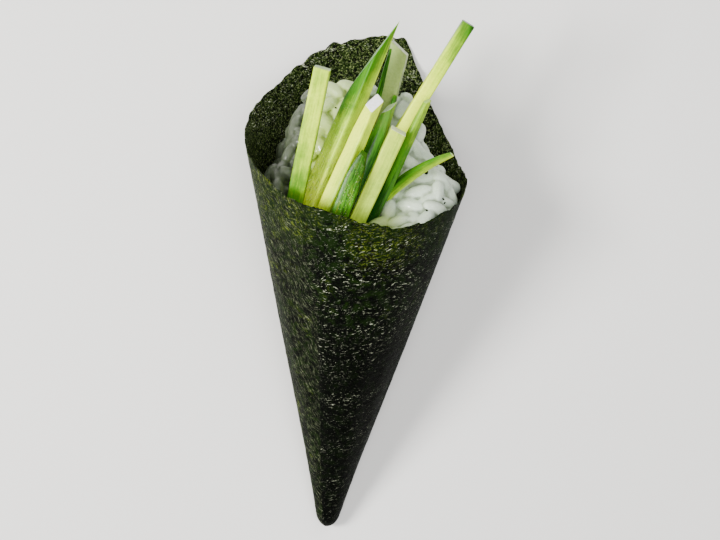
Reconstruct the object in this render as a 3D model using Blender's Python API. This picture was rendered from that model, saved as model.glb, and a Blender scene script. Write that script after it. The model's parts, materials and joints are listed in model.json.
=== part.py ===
# Cucumber hand roll: a cone of rolled nori lying on its side, filled with rice and cucumber sticks.
# Each piece is modelled round the cone's own axis, with +Z towards the mouth and -Y the side that is shown.
# An empty then lays the roll down on the flat of its back.

import math
import random

import bmesh
import bpy
from mathutils import Vector

mm = 0.001

# Nori cone, measured from the point where its sides would meet
cone_half_angle = math.radians(14.45)
nori_thickness = 0.5 * mm
seam_angle = -20
overlap_angle = 60
tip_start = 6.8 * mm
tip_rounding = 3.2 * mm
tip_fold = 0.5 * mm
tip_fold_reach = 16 * mm
tip_plug_end = 15.0 * mm
flat_half_angle = math.radians(15)
columns = 96
outer_rows = 7
inner_rows = 5
cap_rows = 3

# How far the sheet's edge reaches along the cone: turn angle in degrees, slant distance in mm
rim_reach = [
    (-20, 106.5),
    (0, 105),
    (22, 103),
    (40, 104),
    (60, 106),
    (90, 108),
    (120, 110),
    (132, 114),
    (148, 122),
    (157, 129),
    (166, 137),
    (180, 136.5),
    (200, 133.2),
    (225, 125.2),
    (255, 118.5),
    (290, 112.5),
    (315, 107.5),
    (340, 106.5),
]
rim_tear = 0.45 * mm

# Soft waves of the sheet: depth, waves in one turn, phase, change of phase along the cone
sheet_waves = [
    (0.32 * mm, 3, 0.6, 0),
    (0.22 * mm, 5, -1.1, 30),
    (0.10 * mm, 11, 0.3, 80),
]
wave_free_angle = math.radians(38)

# Rice
rice_gap = 0.3 * mm
rice_bottom = 18 * mm
rice_level = 96 * mm
rice_columns = 36
rice_side_rows = 5
rice_top_rings = 8
grain_length = 7.0 * mm
grain_width = 3.3 * mm
grain_sides = 5
grain_rise = 0.75 * mm
grain_spacing = 4.35 * mm
grain_tries = 6000
rice_seed = 11

# Heaps in the mouth: centre x and y, height over the level, reach in x and y, squareness in x
heaps = [
    (-2.2 * mm, 8 * mm, 28 * mm, 17 * mm, 10.5 * mm, 6),
    (18.5 * mm, -1 * mm, 11 * mm, 7.5 * mm, 13 * mm, 2),
    (-20 * mm, -5 * mm, 7 * mm, 4.5 * mm, 7 * mm, 2),
]

# Cucumber sticks in mm: foot, tip, width, thickness, turn in degrees, how far the cut drops to the right and
# to the front, sideways bow, width and thickness left at the tip, and whether the skin shows
stick_gap = 0.4 * mm
corner_cut = 0.35 * mm
skin_bulge = 0.25 * mm
stick_rows = 4
sticks = {
    "cucumber_left": ((-15.8, -12.7, 92.6), (-11.1, -9, 133.2), 4, 4, 5, 0.2, 0, 0, 1, 1, False),
    "cucumber_tall": ((-15.1, -9, 85.6), (1.15, -2.76, 136.4), 4.6, 4.2, 45, -10, 10, 0, 0.75, 0.85, False),
    "cucumber_white_end": ((-10.2, -14.7, 89.9), (2.8, -9.4, 128), 3.7, 3.4, 38, 1, 3.5, 0, 0.72, 0.85, False),
    "cucumber_back_sliver": ((-1.4, -3.8, 99.6), (4.8, 1.5, 136.9), 1.6, 1.6, 0, 0, 2, 0, 0.4, 0.6, True),
    "cucumber_back_slab": ((0.6, 0.9, 94.4), (7.2, 6.5, 137.4), 4.6, 3.6, 10, 2.5, 0, 0, 1, 1, False),
    "cucumber_grey_green": ((-3.3, -12.3, 91), (5.8, -6.4, 124.3), 4, 2.8, 20, -2, 2, 0, 0.5, 1, True),
    "cucumber_front_green": ((-5.2, -19.1, 94.5), (0.8, -16.5, 115.7), 4.4, 3, 8, 0.6, 0.5, 0, 0.35, 0.8, True),
    "cucumber_front_pale": ((-3.9, -17.6, 84.8), (8.6, -12.6, 120.8), 4, 3.6, 0, 0.3, 0.5, 0, 1, 1, False),
    "cucumber_far_right": ((-0.6, -7, 98.2), (22.8, -1.5, 145.6), 3.2, 3.2, 0, 0, 0, 0, 1, 1, False),
    "cucumber_narrow_green": ((-0.4, -12.7, 85), (14.9, -8.5, 127.8), 2.4, 2.4, 40, 0, 1, 0, 0.5, 0.6, True),
    "cucumber_curved_sliver": ((3.2, -6.6, 95.5), (22.1, -7.6, 114.3), 3, 1.5, -30, 0, 0, -2.9, 0.4, 0.6, True),
    "cucumber_small_sliver": ((2.7, -2, 103.6), (7, 1.5, 125.3), 1.6, 1.4, 0, 0, 1, 0, 0.6, 0.6, True),
}

# Colour, roughness and metallic value of each material
nori_look = ((0.035, 0.048, 0.022), 0.5, 0.0)
rice_look = ((0.80, 0.80, 0.74), 0.4, 0.0)
flesh_look = ((0.66, 0.74, 0.38), 0.35, 0.0)
skin_look = ((0.06, 0.22, 0.03), 0.3, 0.0)


def clear_scene():
    for old in list(bpy.data.objects):
        bpy.data.objects.remove(old)


def make_material(name, look):
    colour, roughness, metallic = look
    material = bpy.data.materials.new(name)
    material.use_nodes = True
    shader = material.node_tree.nodes["Principled BSDF"]
    shader.inputs["Base Color"].default_value = (*colour, 1)
    shader.inputs["Roughness"].default_value = roughness
    shader.inputs["Metallic"].default_value = metallic
    return material


def finish_object(name, bm, material, smooth=True):
    bmesh.ops.recalc_face_normals(bm, faces=bm.faces)
    mesh = bpy.data.meshes.new(name)
    bm.to_mesh(mesh)
    bm.free()
    mesh.materials.append(material)
    if smooth:
        mesh.shade_smooth()
    obj = bpy.data.objects.new(name, mesh)
    bpy.context.scene.collection.objects.link(obj)
    return obj


def rim_slant(angle):
    """Slant distance of the sheet's edge at a turn angle in degrees."""
    turned = (angle - seam_angle) % 360 + seam_angle
    for (low, start), (high, end) in zip(rim_reach, rim_reach[1:]):
        if turned <= high:
            return mm * (start + (end - start) * (turned - low) / (high - low))
    return mm * rim_reach[-1][1]


def from_back(psi):
    """Angle away from the middle of the back, 0 to pi."""
    return abs((psi % (2 * math.pi)) - math.pi)


def sheet_wave(psi, z):
    calm = min(1, max(0, (from_back(psi) - wave_free_angle) / wave_free_angle))
    grown = min(1, max(0, (z - tip_plug_end) / (40 * mm)))
    total = sum(depth * math.sin(count * psi + phase + drift * z) for depth, count, phase, drift in sheet_waves)
    return total * calm * grown


def rolled(turn):
    """How far out the spiral of the sheet stands, at a turn counted from the seam."""
    return nori_thickness * (1 - turn)


def flat_distance(z):
    """Distance of the flat of the back from the axis."""
    return (z * math.tan(cone_half_angle) + 0.45 * nori_thickness) * math.cos(flat_half_angle)


def outer_radius(psi, z, turn):
    folded = tip_fold * math.exp(-((z / tip_fold_reach) ** 2))
    radius = z * math.tan(cone_half_angle) + rolled(turn) + sheet_wave(psi, z) + folded
    rounding_end = (tip_start + tip_rounding) * math.cos(cone_half_angle)
    start = tip_start * math.cos(cone_half_angle)
    if z < rounding_end:
        share = (rounding_end - z) / (rounding_end - start)
        radius *= math.sqrt(max(0.0, 1 - share * share))
    away = from_back(psi)
    if away < math.radians(60):
        radius = min(radius, flat_distance(z) / math.cos(away))
    return radius


def inner_radius(psi, z, turn, doubled):
    layers = 2 if doubled else 1
    return outer_radius(psi, z, turn) - layers * nori_thickness


def around(radius, psi, z):
    return Vector((radius * math.sin(psi), -radius * math.cos(psi), z))


def make_nori(material):
    tear = random.Random(5)
    bm = bmesh.new()
    step = 360 / columns
    overlap_columns = round(overlap_angle / step)
    start = tip_start * math.cos(cone_half_angle)
    cap_end = (tip_start + tip_rounding) * math.cos(cone_half_angle)
    plug = tip_plug_end * math.cos(cone_half_angle)
    torn = [tear.uniform(-1, 1) * rim_tear for _ in range(columns)]

    def heights(column):
        angle = seam_angle + column * step
        reach = rim_slant(angle) + torn[column % columns]
        return reach * math.cos(cone_half_angle)

    def outer_column(column):
        psi = math.radians(seam_angle + column * step)
        top = heights(column)
        cap = [start + (cap_end - start) * ((row + 1) / (cap_rows + 1)) ** 2 for row in range(cap_rows)]
        side = [cap_end + (top - cap_end) * row / outer_rows for row in range(outer_rows + 1)]
        return [bm.verts.new(around(outer_radius(psi, z, column / columns), psi, z)) for z in cap + side]

    def inner_column(column, doubled):
        psi = math.radians(seam_angle + column * step)
        top = heights(column)
        side = [plug + (top - plug) * row / inner_rows for row in range(inner_rows + 1)]
        radii = [inner_radius(psi, z, column / columns, doubled) for z in side]
        return [bm.verts.new(around(radius, psi, z)) for radius, z in zip(radii, side)]

    outer_pole = bm.verts.new((0, 0, start))
    inner_pole = bm.verts.new((0, 0, plug - 1.5 * mm))
    outer = [outer_column(column) for column in range(columns + 1)]
    thick = [inner_column(column, True) for column in range(overlap_columns + 1)]
    thin = [inner_column(column, False) for column in range(overlap_columns, columns)]
    # The single layer runs on into the doubled one at the seam
    inner_pairs = list(zip(thick, thick[1:]))
    inner_pairs.append((thick[-1], thin[0]))
    inner_pairs += list(zip(thin, thin[1:]))
    inner_pairs.append((thin[-1], thick[0]))
    outer_pairs = list(zip(outer, outer[1:]))
    outer_pairs.append((outer[-1], outer[0]))

    for left, right in outer_pairs:
        bm.faces.new((outer_pole, right[0], left[0]))
        for row in range(len(left) - 1):
            bm.faces.new((left[row], right[row], right[row + 1], left[row + 1]))
    for left, right in inner_pairs:
        bm.faces.new((inner_pole, left[0], right[0]))
        for row in range(len(left) - 1):
            bm.faces.new((right[row], left[row], left[row + 1], right[row + 1]))

    # Edge of the sheet
    for column in range(columns):
        edge = [outer[column][-1], outer[column + 1][-1]]
        if column + 1 < overlap_columns:
            edge += [thick[column + 1][-1], thick[column][-1]]
        elif column + 1 == overlap_columns:
            edge += [thin[0][-1], thick[-1][-1], thick[column][-1]]
        elif column + 1 < columns:
            edge += [thin[column + 1 - overlap_columns][-1], thin[column - overlap_columns][-1]]
        else:
            edge += [thick[0][-1], thin[-1][-1]]
        if column == 0:
            edge.append(outer[-1][-1])
        bm.faces.new(edge)
    return finish_object("nori", bm, material)


def stick_frame(foot, tip, turn):
    """Along, across and outward directions of a stick."""
    along = (tip - foot).normalized()
    out = Vector((0, -1, 0))
    out = (out - along * out.dot(along)).normalized()
    across = out.cross(along)
    if across.x < 0:
        across = -across
    angle = math.radians(turn)
    turned_across = across * math.cos(angle) + out * math.sin(angle)
    turned_out = out * math.cos(angle) - across * math.sin(angle)
    return along, turned_across, turned_out


def add_stick(bm, settings, grow):
    """Adds a stick, or with grow the room that it needs in the rice."""
    foot, tip, width, thickness, turn, drop_right, drop_front, bow, tip_width, tip_depth, has_skin = settings
    foot = Vector(foot) * mm
    tip = Vector(tip) * mm
    along, across, out = stick_frame(foot, tip, turn)
    half_width = width * mm / 2
    half_depth = thickness * mm / 2
    bulge = skin_bulge if has_skin else 0
    profile = [
        (-half_width + corner_cut, -half_depth),
        (half_width - corner_cut, -half_depth),
        (half_width, -half_depth + corner_cut),
        (half_width, half_depth - corner_cut),
        (half_width - corner_cut, half_depth),
        (0, half_depth + bulge),
        (-half_width + corner_cut, half_depth),
        (-half_width, half_depth - corner_cut),
        (-half_width, -half_depth + corner_cut),
    ]
    rings = []
    for row in range(stick_rows + 1):
        share = row / stick_rows
        late = max(0, (share - 0.5) / 0.5)
        narrow_x = 1 + (tip_width - 1) * late * late
        narrow_y = 1 + (tip_depth - 1) * late * late
        centre = foot.lerp(tip, share) + across * bow * mm * 4 * share * (1 - share)
        if grow and row == 0:
            centre -= along * grow
        if grow and row == stick_rows:
            centre += along * grow
        ring = []
        for x, y in profile:
            px = x * narrow_x + math.copysign(grow, x) * (x != 0)
            py = y * narrow_y + math.copysign(grow, y)
            drop = 0
            if row == stick_rows:
                to_right = (x / half_width + 1) / 2
                to_front = (y / half_depth + 1) / 2
                drop = drop_right * mm * to_right + drop_front * mm * to_front
            ring.append(bm.verts.new(centre + across * px + out * py - along * drop))
        rings.append(ring)
    bm.faces.new(rings[0])
    bm.faces.new(reversed(rings[-1]))
    for low, high in zip(rings, rings[1:]):
        for i in range(len(profile)):
            j = (i + 1) % len(profile)
            bm.faces.new((low[j], low[i], high[i], high[j]))


def make_stick(name, settings, skin, flesh):
    bm = bmesh.new()
    add_stick(bm, settings, 0)
    return finish_object(name, bm, skin if settings[-1] else flesh, smooth=False)


def rice_height(x, y):
    height = rice_level
    for cx, cy, rise, reach_x, reach_y, squareness in heaps:
        height += rise * math.exp(-abs((x - cx) / reach_x) ** squareness - ((y - cy) / reach_y) ** 2)
    return height


def wall_radius(psi, z):
    """Inside of the sheet, less the gap that the rice keeps."""
    turn = ((math.degrees(psi) - seam_angle) % 360) / 360
    return inner_radius(psi, z, turn, turn * 360 <= overlap_angle + 4) - rice_gap


def rice_edge(psi):
    """Height and radius where the top of the rice meets the wall."""
    z = rice_level
    radius = wall_radius(psi, z)
    for _ in range(12):
        radius = wall_radius(psi, z)
        z = rice_height(radius * math.sin(psi), -radius * math.cos(psi))
    return z, wall_radius(psi, z)


def rice_core():
    bm = bmesh.new()
    bottom = bm.verts.new((0, 0, rice_bottom))
    top = bm.verts.new((0, 0, rice_height(0, 0)))
    strips = []
    for column in range(rice_columns):
        psi = 2 * math.pi * column / rice_columns
        edge_z, edge_radius = rice_edge(psi)
        strip = []
        for row in range(1, rice_side_rows + 1):
            z = rice_bottom + (edge_z - rice_bottom) * row / rice_side_rows
            strip.append(bm.verts.new(around(wall_radius(psi, z), psi, z)))
        for ring in range(1, rice_top_rings):
            radius = edge_radius * (1 - ring / rice_top_rings)
            x = radius * math.sin(psi)
            y = -radius * math.cos(psi)
            strip.append(bm.verts.new((x, y, rice_height(x, y))))
        strips.append(strip)
    for left, right in zip(strips, strips[1:] + strips[:1]):
        bm.faces.new((bottom, right[0], left[0]))
        for row in range(len(left) - 1):
            bm.faces.new((left[row], right[row], right[row + 1], left[row + 1]))
        bm.faces.new((left[-1], right[-1], top))
    return bm


def grain_places():
    """Seeded places of the grains on top of the rice: centre, long direction, upward direction, size."""
    rule = random.Random(rice_seed)
    places = []
    for _ in range(grain_tries):
        psi = rule.uniform(0, 2 * math.pi)
        edge_z, edge_radius = rice_edge(psi)
        radius = (edge_radius - 1.0 * mm) * math.sqrt(rule.random())
        spin = rule.uniform(0, 2 * math.pi)
        tilt = rule.uniform(-0.35, 0.35)
        size = rule.uniform(0.9, 1.08)
        lift = rule.uniform(0.0, 1.0)
        x = radius * math.sin(psi)
        y = -radius * math.cos(psi)
        small = 0.2 * mm
        slope_x = (rice_height(x + small, y) - rice_height(x - small, y)) / (2 * small)
        slope_y = (rice_height(x, y + small) - rice_height(x, y - small)) / (2 * small)
        up = Vector((-slope_x, -slope_y, 1)).normalized()
        centre = Vector((x, y, rice_height(x, y))) + up * grain_rise * lift
        if any((centre - other[0]).length < grain_spacing for other in places):
            continue
        side = up.orthogonal().normalized()
        long = side * math.cos(spin) + up.cross(side) * math.sin(spin)
        long = (long + up * tilt).normalized()
        up = (up - long * up.dot(long)).normalized()
        places.append((centre, long, up, size))
    return places


def add_grain(bm, place):
    centre, long, up, size = place
    side = long.cross(up)
    half = grain_length / 2 * size
    wide = grain_width / 2 * size
    tail = bm.verts.new(centre - long * half)
    head = bm.verts.new(centre + long * half)
    rings = []
    for along, share in ((-0.62, 0.8), (0.0, 1.05), (0.62, 0.8)):
        ring = []
        for i in range(grain_sides):
            angle = 2 * math.pi * i / grain_sides
            offset = side * math.cos(angle) + up * math.sin(angle)
            ring.append(bm.verts.new(centre + long * half * along + offset * wide * share))
        rings.append(ring)
    for i in range(grain_sides):
        j = (i + 1) % grain_sides
        bm.faces.new((tail, rings[0][j], rings[0][i]))
        bm.faces.new((head, rings[-1][i], rings[-1][j]))
        for low, high in zip(rings, rings[1:]):
            bm.faces.new((low[i], low[j], high[j], high[i]))


def mouth_room():
    """Everything inside the sheet, as a solid that reaches out of the mouth."""
    bm = bmesh.new()
    low = bm.verts.new((0, 0, rice_bottom - 1 * mm))
    high = bm.verts.new((0, 0, 170 * mm))
    strips = []
    for column in range(rice_columns):
        psi = 2 * math.pi * column / rice_columns
        strip = []
        for z in (rice_bottom, 60 * mm, 90 * mm, 105 * mm, 120 * mm, 140 * mm, 169 * mm):
            strip.append(bm.verts.new(around(wall_radius(psi, z) + 0.02 * mm, psi, z)))
        strips.append(strip)
    for left, right in zip(strips, strips[1:] + strips[:1]):
        bm.faces.new((low, right[0], left[0]))
        for row in range(len(left) - 1):
            bm.faces.new((left[row], right[row], right[row + 1], left[row + 1]))
        bm.faces.new((left[-1], right[-1], high))
    return bm


def boolean(obj, operation, collection):
    modifier = obj.modifiers.new(operation.title(), "BOOLEAN")
    modifier.operation = operation
    modifier.operand_type = "COLLECTION"
    modifier.collection = collection
    modifier.solver = "MANIFOLD"
    graph = bpy.context.evaluated_depsgraph_get()
    solid = bpy.data.meshes.new_from_object(obj.evaluated_get(graph))
    obj.modifiers.remove(modifier)
    obj.data = solid
    for helper in list(collection.objects):
        bpy.data.objects.remove(helper)
    bpy.data.collections.remove(collection)


def helper_collection(name, pieces, material):
    collection = bpy.data.collections.new(name)
    bpy.context.scene.collection.children.link(collection)
    for number, bm in enumerate(pieces):
        helper = finish_object(f"{name}_{number}", bm, material)
        bpy.context.scene.collection.objects.unlink(helper)
        collection.objects.link(helper)
        helper.display_type = "WIRE"
        helper.hide_render = True
    bpy.context.view_layer.update()
    return collection


def keep_largest(obj):
    """Drops loose scraps that the cuts leave."""
    bm = bmesh.new()
    bm.from_mesh(obj.data)
    bm.verts.ensure_lookup_table()
    seen = set()
    groups = []
    for vert in bm.verts:
        if vert in seen:
            continue
        group = [vert]
        seen.add(vert)
        for found in group:
            for edge in found.link_edges:
                other = edge.other_vert(found)
                if other not in seen:
                    seen.add(other)
                    group.append(other)
        groups.append(group)
    groups.sort(key=len, reverse=True)
    for group in groups[1:]:
        bmesh.ops.delete(bm, geom=group, context="VERTS")
    bm.to_mesh(obj.data)
    bm.free()


def make_rice(material):
    rice = finish_object("rice", rice_core(), material)
    grains = []
    for place in grain_places():
        bm = bmesh.new()
        add_grain(bm, place)
        grains.append(bm)
    boolean(rice, "UNION", helper_collection("grains", grains, material))
    boolean(rice, "INTERSECT", helper_collection("room", [mouth_room()], material))
    cuts = []
    for settings in sticks.values():
        bm = bmesh.new()
        add_stick(bm, settings, stick_gap)
        cuts.append(bm)
    boolean(rice, "DIFFERENCE", helper_collection("stick_room", cuts, material))
    keep_largest(rice)
    rice.data.shade_smooth()
    return rice


def lay_down(pieces):
    """Turns the roll onto its flat back and puts the middle of its footprint at the origin."""
    holder = bpy.data.objects.new("hand_roll", None)
    bpy.context.scene.collection.objects.link(holder)
    flat_slope = math.atan(math.tan(cone_half_angle) * math.cos(flat_half_angle))
    holder.rotation_euler = (flat_slope - math.pi / 2, 0, 0)
    for piece in pieces:
        piece.parent = holder
    bpy.context.view_layer.update()
    corners = [piece.matrix_world @ vert.co for piece in pieces for vert in piece.data.vertices]
    low = Vector([min(corner[axis] for corner in corners) for axis in range(3)])
    high = Vector([max(corner[axis] for corner in corners) for axis in range(3)])
    holder.location = (-(low.x + high.x) / 2, -(low.y + high.y) / 2, -low.z)
    bpy.context.view_layer.update()


clear_scene()
nori_material = make_material("nori", nori_look)
rice_material = make_material("rice", rice_look)
flesh_material = make_material("cucumber_flesh", flesh_look)
skin_material = make_material("cucumber_skin", skin_look)
made = [make_nori(nori_material), make_rice(rice_material)]
for stick_name, stick_settings in sticks.items():
    made.append(make_stick(stick_name, stick_settings, skin_material, flesh_material))
lay_down(made)
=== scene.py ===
import json
import math
import random

import bmesh
import bpy
from mathutils import Matrix, Vector, noise
from mathutils.bvhtree import BVHTree

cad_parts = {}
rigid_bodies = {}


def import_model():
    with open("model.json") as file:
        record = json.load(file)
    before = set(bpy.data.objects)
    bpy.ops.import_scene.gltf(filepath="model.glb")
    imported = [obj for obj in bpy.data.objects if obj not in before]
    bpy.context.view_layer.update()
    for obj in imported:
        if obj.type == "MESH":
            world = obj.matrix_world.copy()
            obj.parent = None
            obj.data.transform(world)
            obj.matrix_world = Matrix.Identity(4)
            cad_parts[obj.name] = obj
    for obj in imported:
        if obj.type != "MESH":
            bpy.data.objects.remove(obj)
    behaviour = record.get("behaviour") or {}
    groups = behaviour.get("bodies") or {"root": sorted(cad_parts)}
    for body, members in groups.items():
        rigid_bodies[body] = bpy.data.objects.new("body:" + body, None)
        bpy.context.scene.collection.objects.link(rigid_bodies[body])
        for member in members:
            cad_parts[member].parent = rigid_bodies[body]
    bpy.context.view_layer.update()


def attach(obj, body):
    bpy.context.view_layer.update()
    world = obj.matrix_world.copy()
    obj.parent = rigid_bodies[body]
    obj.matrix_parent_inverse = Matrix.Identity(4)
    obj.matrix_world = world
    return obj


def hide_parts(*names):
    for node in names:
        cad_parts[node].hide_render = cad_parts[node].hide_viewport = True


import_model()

mm = 0.001

# Everything is worked out round the roll's own axis: +Z to the mouth, -Y to the viewer, in mm.
# The roll then lies down on the flat of its back.
lying = {"halfAngle": 14.45, "flatHalfAngle": 15, "place": (1.159, -74.079, 0.211)}
halfAngle = math.radians(lying["halfAngle"])
flatHalfAngle = math.radians(lying["flatHalfAngle"])
layTurn = math.atan(math.tan(halfAngle) * math.cos(flatHalfAngle)) - math.pi / 2
layPlace = Vector(lying["place"]) * mm
rollToWorld = Matrix.Translation(layPlace) @ Matrix.Rotation(layTurn, 4, "X") @ Matrix.Scale(mm, 4)


def addObject(name, data):
    made = bpy.data.objects.new(name, data)
    bpy.context.scene.collection.objects.link(made)
    return made


# camera: places in roll mm, angles in degrees
picture = {"width": 720, "height": 540}
cameraLook = {
    "target": (2.44, 0, 79.4), "raised": 20, "distance": 500, "lean": 5.49, "lens": 98.75, "sensor": 36,
    "nearest": 0.01,
}


def placeCamera(look):
    raised = math.radians(look["raised"])
    lean = math.radians(look["lean"])
    toCamera = Vector((0, -math.cos(raised), math.sin(raised)))
    level = Vector((1, 0, 0))
    upright = Vector((0, math.sin(raised), math.cos(raised)))
    right = level * math.cos(lean) + upright * math.sin(lean)
    up = upright * math.cos(lean) - level * math.sin(lean)
    turn = (rollToWorld.to_3x3().normalized() @ Matrix((right, up, toCamera)).transposed()).to_4x4()
    spot = rollToWorld @ (Vector(look["target"]) + toCamera * look["distance"])
    lens = bpy.data.cameras.new("camera")
    lens.lens = look["lens"]
    lens.sensor_width = look["sensor"]
    lens.clip_start = look["nearest"]
    camera = addObject("camera", lens)
    camera.matrix_world = Matrix.Translation(spot) @ turn
    bpy.context.scene.camera = camera
    return camera


camera = placeCamera(cameraLook)
print("camera set")


# shader helpers
class Wire:
    # one value in a material, that can be reckoned with
    def __init__(self, look, socket):
        self.look = look
        self.socket = socket

    def sum(self, operation, first, second):
        return self.look.node("ShaderNodeMath", {"operation": operation}, {0: first, 1: second})

    def __add__(self, other):
        return self.sum("ADD", self, other)

    def __sub__(self, other):
        return self.sum("SUBTRACT", self, other)

    def __rsub__(self, other):
        return self.sum("SUBTRACT", other, self)

    def __mul__(self, other):
        return self.sum("MULTIPLY", self, other)

    def __truediv__(self, other):
        return self.sum("DIVIDE", self, other)

    def __rtruediv__(self, other):
        return self.sum("DIVIDE", other, self)

    __radd__ = __add__
    __rmul__ = __mul__


def between(share, first, second):
    # first where the share is 0, second where it is 1
    return first * (1 - share) + second * share


class Look:
    # one material, its shader and its nodes
    def __init__(self, name, sockets):
        self.material = bpy.data.materials.new(name)
        self.material.use_nodes = True
        self.tree = self.material.node_tree
        self.shader = self.tree.nodes["Principled BSDF"]
        self.finish(sockets)

    def join(self, value, socket):
        if isinstance(value, Wire):
            self.tree.links.new(value.socket, socket)
        elif isinstance(value, tuple) and socket.type == "RGBA":
            socket.default_value = (*value[:3], 1)
        else:
            socket.default_value = value

    def node(self, kind, settings=None, sockets=None, output=0):
        made = self.tree.nodes.new(kind)
        for key, value in (settings or {}).items():
            if key == "stops":
                band = made.color_ramp.elements
                while len(band) < len(value):
                    band.new(0.5)
                for stop, (spot, colour) in zip(band, value):
                    stop.position = spot
                    stop.color = (*colour, 1)
            else:
                setattr(made, key, value)
        for key, value in (sockets or {}).items():
            self.join(value, made.inputs[key])
        return Wire(self, made.outputs[output])

    def vector(self, operation, first, second):
        return self.node("ShaderNodeVectorMath", {"operation": operation}, {0: first, 1: second})

    def blend(self, factor, first, second, mode="MIX"):
        settings = {"data_type": "RGBA", "blend_type": mode}
        return self.node("ShaderNodeMix", settings, {0: factor, 6: first, 7: second}, 2)

    def rise(self, value, low, high):
        # 0 at low and 1 at high, smooth between them
        smooth = {"interpolation_type": "SMOOTHSTEP"}
        return self.node("ShaderNodeMapRange", smooth, {0: value, 1: low, 2: high})

    def noise(self, place, scale, detail=2.0, roughness=0.5):
        sockets = {"Vector": place, "Scale": scale, "Detail": detail, "Roughness": roughness}
        return self.node("ShaderNodeTexNoise", None, sockets)

    def cells(self, place, scale, feature):
        return self.node("ShaderNodeTexVoronoi", {"feature": feature}, {"Vector": place, "Scale": scale})

    def parts(self, vector):
        split = self.node("ShaderNodeSeparateXYZ", None, {0: vector}).socket.node
        return [Wire(self, output) for output in split.outputs]

    def rollPlace(self):
        # Object coordinates turned back to the roll's own axis, in mm
        spot = self.node("ShaderNodeTexCoord", output=3)
        sockets = {0: spot, 1: tuple(layPlace), 2: (layTurn, 0, 0), 3: (mm, mm, mm)}
        return self.node("ShaderNodeMapping", {"vector_type": "TEXTURE"}, sockets)

    def attribute(self, name, output=2):
        return self.node("ShaderNodeAttribute", {"attribute_name": name}, output=output)

    def relief(self, height, strength, distance):
        sockets = {"Height": height, "Strength": strength, "Distance": distance}
        return self.node("ShaderNodeBump", None, sockets)

    def finish(self, sockets):
        for key, value in sockets.items():
            self.join(value, self.shader.inputs[key])
        return self.material


def faceOutward(mesh):
    bm = bmesh.new()
    bm.from_mesh(mesh)
    bmesh.ops.recalc_face_normals(bm, faces=bm.faces)
    bm.to_mesh(mesh)
    bm.free()
    mesh.shade_smooth()


def settle(piece, node):
    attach(piece, "root")
    if node:
        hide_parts(node)


def makePiece(name, points, faces, material, node=None, layers=None):
    # points are in roll mm; the piece's place goes in its mesh
    mesh = bpy.data.meshes.new(name)
    mesh.from_pydata([rollToWorld @ Vector(point) for point in points], [], faces)
    for layer, (kind, values) in (layers or {}).items():
        store = mesh.attributes.new(layer, kind, "POINT")
        if kind == "FLOAT_VECTOR":
            store.data.foreach_set("vector", [number for value in values for number in value])
        else:
            store.data.foreach_set("value", values)
    faceOutward(mesh)
    mesh.materials.append(material)
    settle(addObject(name, mesh), node)


def around(radius, psi, z):
    return (radius * math.sin(psi), -radius * math.cos(psi), z)


def limit(value):
    return min(1, max(0, value))


def steps(low, high, count):
    # even steps with both ends
    return [low + (high - low) * step / count for step in range(count + 1)]


def quads(left, right):
    # faces between two columns of points, from the low end up
    return [(left[row], right[row], right[row + 1], left[row + 1]) for row in range(len(left) - 1)]


# nori: mm, and degrees round the roll with 0 at the front
nori = {
    "thickness": 0.5, "seam": -20, "overlap": 60,
    "tipStart": 6.85, "tipRounding": 3.2, "tipFold": 0.5, "tipFoldReach": 16, "plugEnd": 15, "plugDip": 1.5,
    "columns": 384, "sideRows": 128, "capRows": 6, "lowRows": 5, "innerRows": 56, "innerLow": 84,
    # degrees round the roll, and slant height of the rim there
    "rim": [
        (-20, 106.5), (0, 105), (22, 103), (40, 104), (60, 106), (90, 108), (120, 110), (132, 114),
        (148, 122), (157, 129), (166, 137), (180, 136.5), (200, 133.2), (225, 125.2), (255, 118.5),
        (290, 112.5), (315, 107.5), (340, 106.5),
    ],
    "tear": 0.45, "tearSeed": 5, "tearColumns": 96, "fineTear": 0.42, "fineTearRest": 0.35,
    "fineTears": [(0.61, 3.3, 0.7), (0.23, 8.1, 1)],  # rate, shift and share of each noise
    "seamSways": [(0.22, 0.5, 0.9), (0.9, 2.5, 0.25)],  # the same for the seam
    "seamReach": 0.02, "seamGrowth": 20, "seamRadius": 2.0,
    "waves": [(0.32, 3, 0.6, 0), (0.22, 5, -1.1, 0.03), (0.10, 11, 0.3, 0.08)],  # depth, count, phase, drift
    "waveGrowth": 40, "calmBack": 38, "flatReach": 60, "flatInset": 0.45,
    "crinkle": 0.16, "crinkleGrowth": 3, "crinkleRest": 0.42,
    # rate across and along, shift, share, and whether the noise is folded to a ridge
    "dents": [(0.16, 0.30, 0, 0.35, False), (0.42, 0.85, 40, 0.45, False), (0.3, 0.7, -20, -0.18, True)],
    "innerCrinkle": 0.6, "innerShrink": 0.93, "thinCalm": 0.4,
    "layerDrop": 1.1, "edge": 0.24, "edgeReach": 1.6,
}
tearRule = random.Random(nori["tearSeed"])
tornEdge = [tearRule.uniform(-1, 1) * nori["tear"] for _ in range(nori["tearColumns"])]
tipLow = nori["tipStart"] * math.cos(halfAngle)
tipCapEnd = (nori["tipStart"] + nori["tipRounding"]) * math.cos(halfAngle)


def rimSlant(angle):
    turned = (angle - nori["seam"]) % 360 + nori["seam"]
    for (low, start), (high, end) in zip(nori["rim"], nori["rim"][1:]):
        if turned <= high:
            return start + (end - start) * (turned - low) / (high - low)
    return nori["rim"][-1][1]


def fromBack(psi):
    return abs((psi % (2 * math.pi)) - math.pi)


def sheetWave(psi, z):
    calmBack = math.radians(nori["calmBack"])
    calm = limit((fromBack(psi) - calmBack) / calmBack)
    grown = limit((z - nori["plugEnd"]) / nori["waveGrowth"])
    wave = 0
    for depth, count, phase, drift in nori["waves"]:
        wave += depth * math.sin(count * psi + phase + drift * z)
    return wave * calm * grown


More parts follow.
